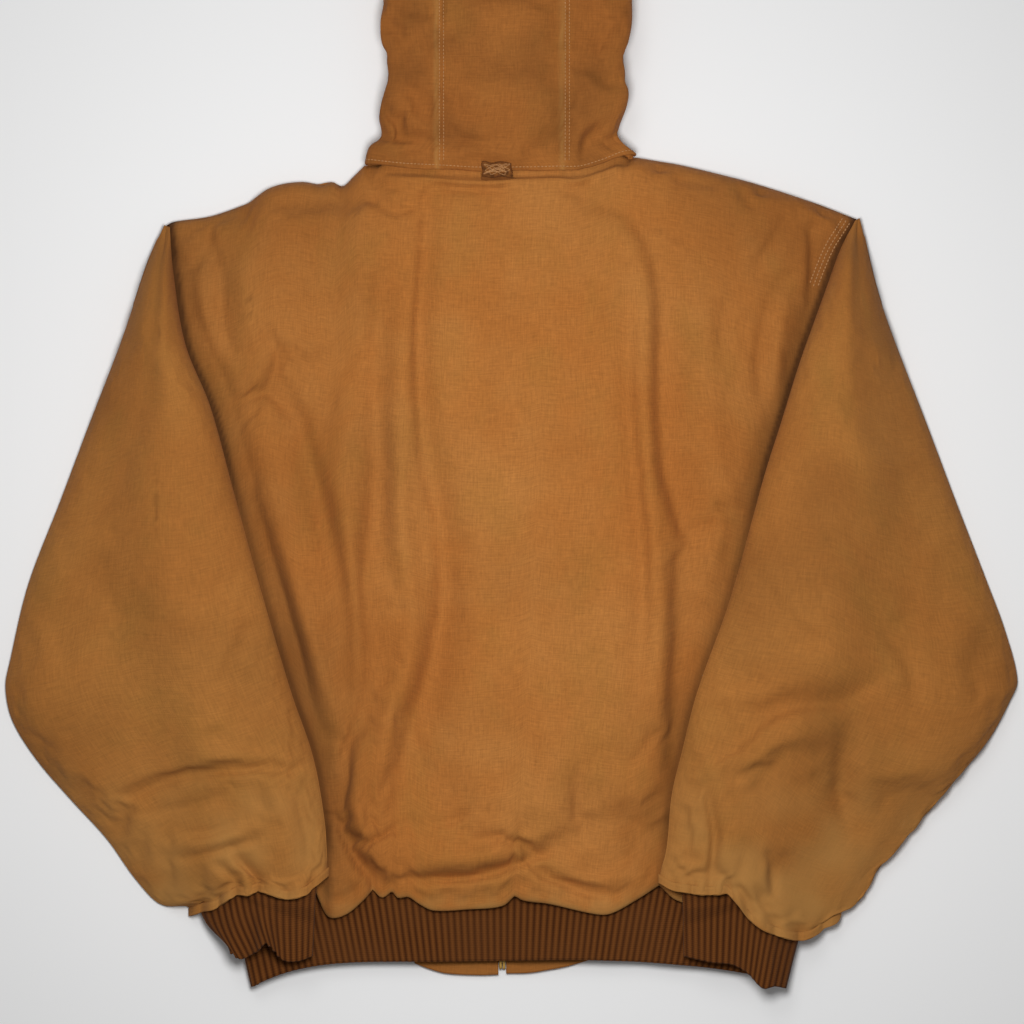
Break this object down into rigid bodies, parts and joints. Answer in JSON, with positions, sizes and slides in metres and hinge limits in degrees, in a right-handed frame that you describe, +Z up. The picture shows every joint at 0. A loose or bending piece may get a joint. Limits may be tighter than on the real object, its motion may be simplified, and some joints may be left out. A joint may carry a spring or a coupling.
{
  "type": "hooded work jacket",
  "caption": "Hooded blouson work jacket of brown cotton duck with rib-knit cuffs and waistband and a brass front zip, lying face down with its sleeves folded over its back.",
  "frame": {"origin": "centre of the jacket's footprint, on the surface it lies on", "axes": "+Z up out of the back, +Y from the hem towards the hood, +X towards the wearer's right"},
  "size_m": [0.893, 1.0552, 0.0662],
  "materials": {
    "duck": "washed cotton duck canvas, matt",
    "sleeve_duck": "washed cotton duck canvas, matt",
    "hood_duck": "washed cotton duck canvas, matt",
    "rib_knit": "ribbed knit, matt",
    "quilted_lining": "quilted taffeta, slight sheen",
    "zip_tape": "woven tape, matt",
    "label": "blank woven label",
    "zip_brass": "worn brass"
  },
  "bodies": {
    "root": {"back_panel": "duck", "back_lining": "quilted_lining", "waistband": "rib_knit", "hang_loop": "duck", "neck_label": "label", "inner_pocket": "quilted_lining", "zipper_box": "zip_brass", "zipper_pin": "zip_brass", "front_panel_left": "duck", "front_lining_left": "quilted_lining", "hand_pocket_left": "duck", "hem_tab_left": "duck", "zipper_tape_left": "zip_tape", "zipper_chain_left": "zip_brass", "top_stop_left": "zip_brass", "front_panel_right": "duck", "front_lining_right": "quilted_lining", "hand_pocket_right": "duck", "hem_tab_right": "duck", "zipper_tape_right": "zip_tape", "zipper_chain_right": "zip_brass", "top_stop_right": "zip_brass"},
    "sleeve_left": {"cuff_left": "rib_knit", "sleeve_left_under": "sleeve_duck", "sleeve_left_top": "sleeve_duck", "sleeve_left_lining": "quilted_lining"},
    "sleeve_right": {"cuff_right": "rib_knit", "sleeve_right_under": "sleeve_duck", "sleeve_right_top": "sleeve_duck", "sleeve_right_lining": "quilted_lining"},
    "hood": {"hood_side_left": "hood_duck", "hood_hem_left": "hood_duck", "eyelet_left": "zip_brass", "hood_side_right": "hood_duck", "hood_hem_right": "hood_duck", "eyelet_right": "zip_brass", "hood_centre_panel": "hood_duck", "hood_lining": "quilted_lining"},
    "slider": {"slider_front": "zip_brass", "slider_back": "zip_brass"},
    "pull": {"zipper_pull": "zip_brass"}
  },
  "joints": [
    {"name": "sleeve_left_open", "type": "hinge", "parent": "root", "child": "sleeve_left", "pos_m": [-0.3025, 0.1376, 0.02], "axis": [0, 0, -1], "range_deg": [0, 26]},
    {"name": "sleeve_right_open", "type": "hinge", "parent": "root", "child": "sleeve_right", "pos_m": [0.3025, 0.1436, 0.02], "axis": [0, 0, 1], "range_deg": [0, 26]},
    {"name": "hood_fold", "type": "hinge", "parent": "root", "child": "hood", "pos_m": [-0.0085, 0.1886, 0.05], "axis": [1, 0, 0], "range_deg": [0, 168]},
    {"name": "zip_slide", "type": "slide", "parent": "root", "child": "slider", "axis": [0, -1, 0], "range_m": [0, 0.575]},
    {"name": "pull_tilt", "type": "hinge", "parent": "slider", "child": "pull", "pos_m": [-0.0085, 0.0923, 0.0005], "axis": [1, 0, 0], "range_deg": [0, 150]}
  ]
}
